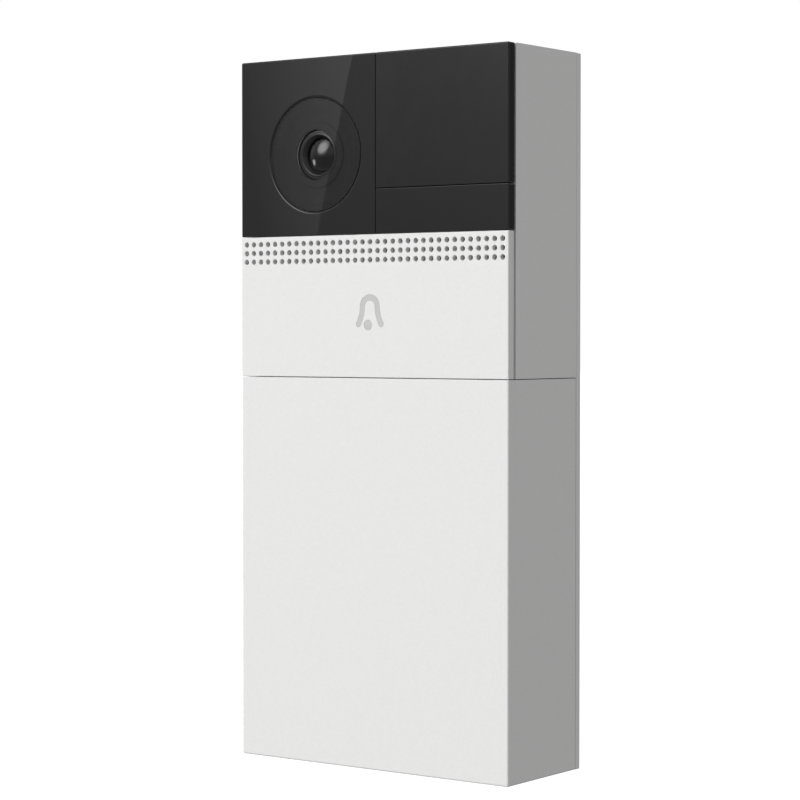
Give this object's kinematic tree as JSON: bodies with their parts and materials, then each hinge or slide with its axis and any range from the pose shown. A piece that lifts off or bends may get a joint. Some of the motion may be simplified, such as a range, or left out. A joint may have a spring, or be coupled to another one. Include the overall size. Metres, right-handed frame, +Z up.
{
  "type": "video doorbell",
  "caption": "Slim upright battery video doorbell: black camera and sensor windows over a full-width bell button with speaker grille, white slide-down battery cover and wall plate.",
  "frame": {"origin": "centre of the wall face, which is the back of the mounting plate", "axes": "+X to the right seen from the front, +Y into the wall, +Z up along the body"},
  "size_m": [0.0696, 0.0272, 0.15],
  "materials": {
    "white_shell": "fine-textured white ABS and polycarbonate, satin",
    "dark_plastic": "matte dark grey moulded plastic",
    "grey_tray": "matte mid-grey moulded plastic",
    "gloss_black": "polished black acrylic",
    "satin_black": "satin black, infrared-clear plastic",
    "lens_glass": "coated optical glass",
    "clear_cover": "polished acrylic, clear over the lens and smoked round it",
    "icon_grey": "milky light-guide plastic",
    "rubber": "matte black silicone rubber",
    "circuit_board": "green solder mask over copper",
    "chip_black": "matte black moulding compound",
    "nickel": "nickel-plated steel",
    "steel": "zinc-plated steel screws",
    "clear_lamp": "clear epoxy",
    "magnet": "sintered magnet with dark plating",
    "paper": "black pressed paper",
    "brass": "bare copper alloy",
    "cell_wrap": "glossy blue shrink sleeve over a metal can"
  },
  "bodies": {
    "wall_plate": {"mounting_plate": "white_shell"},
    "doorbell": {"antenna": "brass", "battery_cell_1": "cell_wrap", "battery_cell_2": "cell_wrap", "battery_cell_3": "cell_wrap", "battery_tray": "grey_tray", "board_screw_1": "steel", "board_screw_2": "steel", "board_screw_3": "steel", "board_screw_4": "steel", "camera_board": "circuit_board", "camera_window": "gloss_black", "card_slot": "nickel", "cell_contact_1": "nickel", "cell_contact_2": "nickel", "cell_contact_3": "nickel", "cell_spring_1": "nickel", "cell_spring_2": "nickel", "cell_spring_3": "nickel", "chassis_gasket": "rubber", "chassis_screw_1": "steel", "chassis_screw_2": "steel", "chassis_screw_3": "steel", "chassis_screw_4": "steel", "front_chassis": "dark_plastic", "image_sensor": "chip_black", "infrared_lamp_1": "clear_lamp", "infrared_lamp_2": "clear_lamp", "lens_barrel": "satin_black", "lens_bezel": "gloss_black", "lens_cover": "clear_cover", "lens_glass": "lens_glass", "lens_holder": "dark_plastic", "light_sensor": "clear_lamp", "main_board": "circuit_board", "memory_card": "chip_black", "microphone": "nickel", "microphone_boot": "rubber", "motion_sensor": "nickel", "motion_window": "satin_black", "processor_shield": "nickel", "reset_switch": "chip_black", "sensor_window": "satin_black", "service_board": "circuit_board", "speaker_cone": "paper", "speaker_frame": "dark_plastic", "speaker_gasket": "rubber", "speaker_magnet": "magnet", "switch_body": "chip_black", "tray_seal": "rubber", "upper_housing": "white_shell", "usb_port": "nickel", "wireless_module": "nickel"},
    "cover": {"battery_cover": "white_shell", "security_screw": "steel"},
    "button": {"bell_button": "white_shell", "bell_light_guide": "icon_grey"},
    "plunger": {"switch_plunger": "chip_black"},
    "reset": {"reset_button": "white_shell"},
    "filter": {"infrared_filter": "lens_glass"}
  },
  "joints": [
    {"name": "body_lift", "type": "slide", "parent": "wall_plate", "child": "doorbell", "axis": [0, 0, 1], "range_m": [0, 0.005]},
    {"name": "cover_slide", "type": "slide", "parent": "doorbell", "child": "cover", "axis": [0, 0, -1], "range_m": [0, 0.085]},
    {"name": "button_press", "type": "slide", "parent": "doorbell", "child": "button", "axis": [0, 1, 0], "range_m": [0, 0.0005], "stiffness_N_per_m": 3000, "springref_m": -0.0003},
    {"name": "plunger_press", "type": "slide", "parent": "doorbell", "child": "plunger", "axis": [0, 1, 0], "range_m": [0, 0.0005]},
    {"name": "reset_press", "type": "slide", "parent": "doorbell", "child": "reset", "axis": [0, 1, 0], "range_m": [0, 0.0005], "stiffness_N_per_m": 1500, "springref_m": -0.0003},
    {"name": "filter_shift", "type": "slide", "parent": "doorbell", "child": "filter", "axis": [1, 0, 0], "range_m": [0, 0.005]}
  ],
  "couplings": [
    {"joint": "plunger_press", "follows": "button_press", "ratio": 1}
  ]
}
